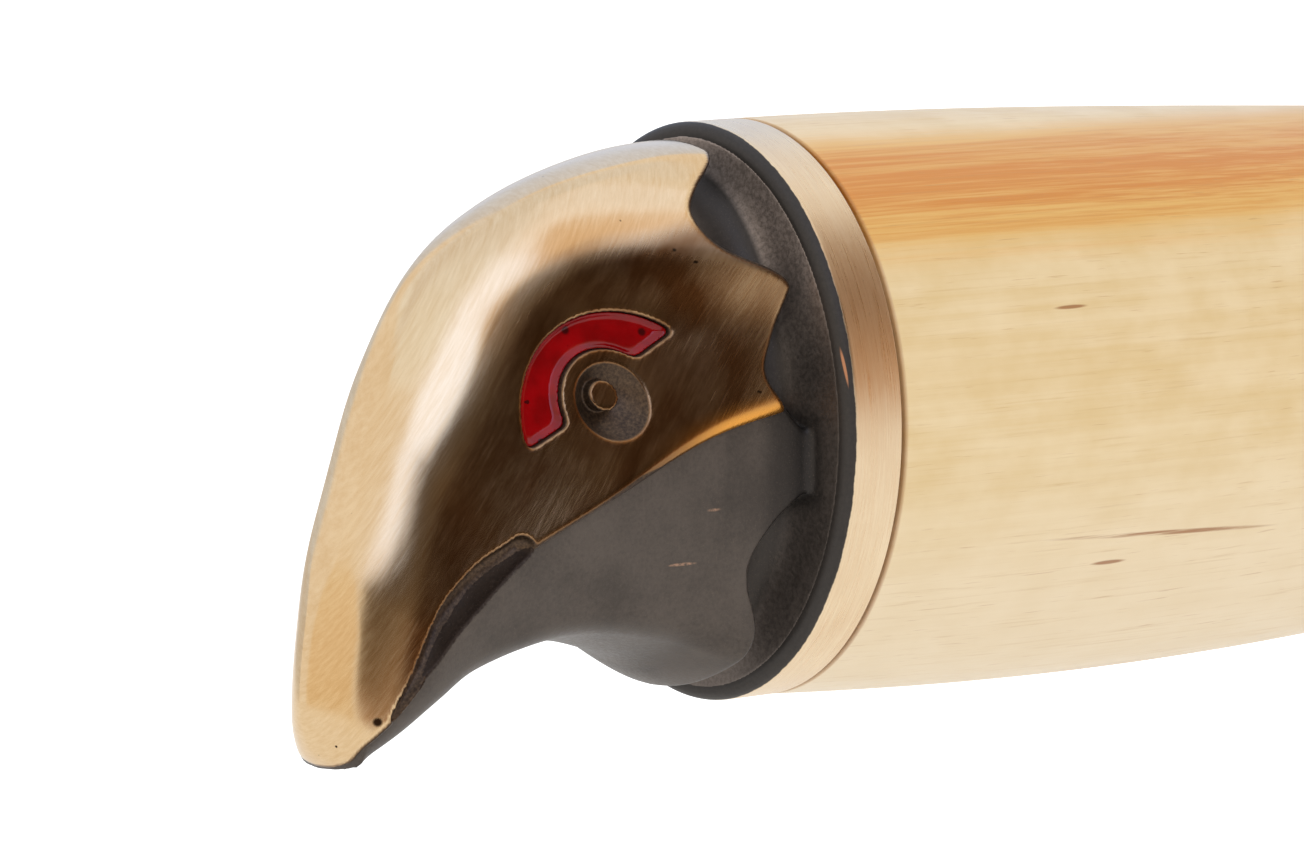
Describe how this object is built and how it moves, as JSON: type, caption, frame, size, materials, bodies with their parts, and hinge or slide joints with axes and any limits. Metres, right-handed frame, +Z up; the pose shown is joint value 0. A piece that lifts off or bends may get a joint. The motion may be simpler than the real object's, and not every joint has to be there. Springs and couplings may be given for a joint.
{
  "type": "bushcraft knife",
  "caption": "Fixed-blade puukko with an oval birch grip, bronze front ferrule and a cast bronze bird-head pommel with red enamel brows, for carving and camp work.",
  "frame": {"origin": "middle of the grip on the handle's axis, where a hand holds the knife, with the spine and the bird's crown up", "axes": "+X along the knife toward the blade's point, +Y across it, toward the bird's own right side, +Z up toward the spine"},
  "size_m": [0.2371, 0.024, 0.032],
  "materials": {
    "blade_steel": "satin, lengthwise brushed",
    "ferrule_bronze": "fine brushed bronze",
    "birch": "oiled, smooth",
    "bedding_resin": "cast",
    "cast_bronze": "polished and brushed over blackened recesses",
    "red_enamel": "glossy"
  },
  "bodies": {
    "root": {"blade": "blade_steel", "front_ferrule": "ferrule_bronze", "grip": "birch", "grip_bedding": "bedding_resin", "pommel": "cast_bronze", "pommel_bedding": "bedding_resin", "brow_enamel_left": "red_enamel", "brow_enamel_right": "red_enamel"}
  },
  "joints": []
}
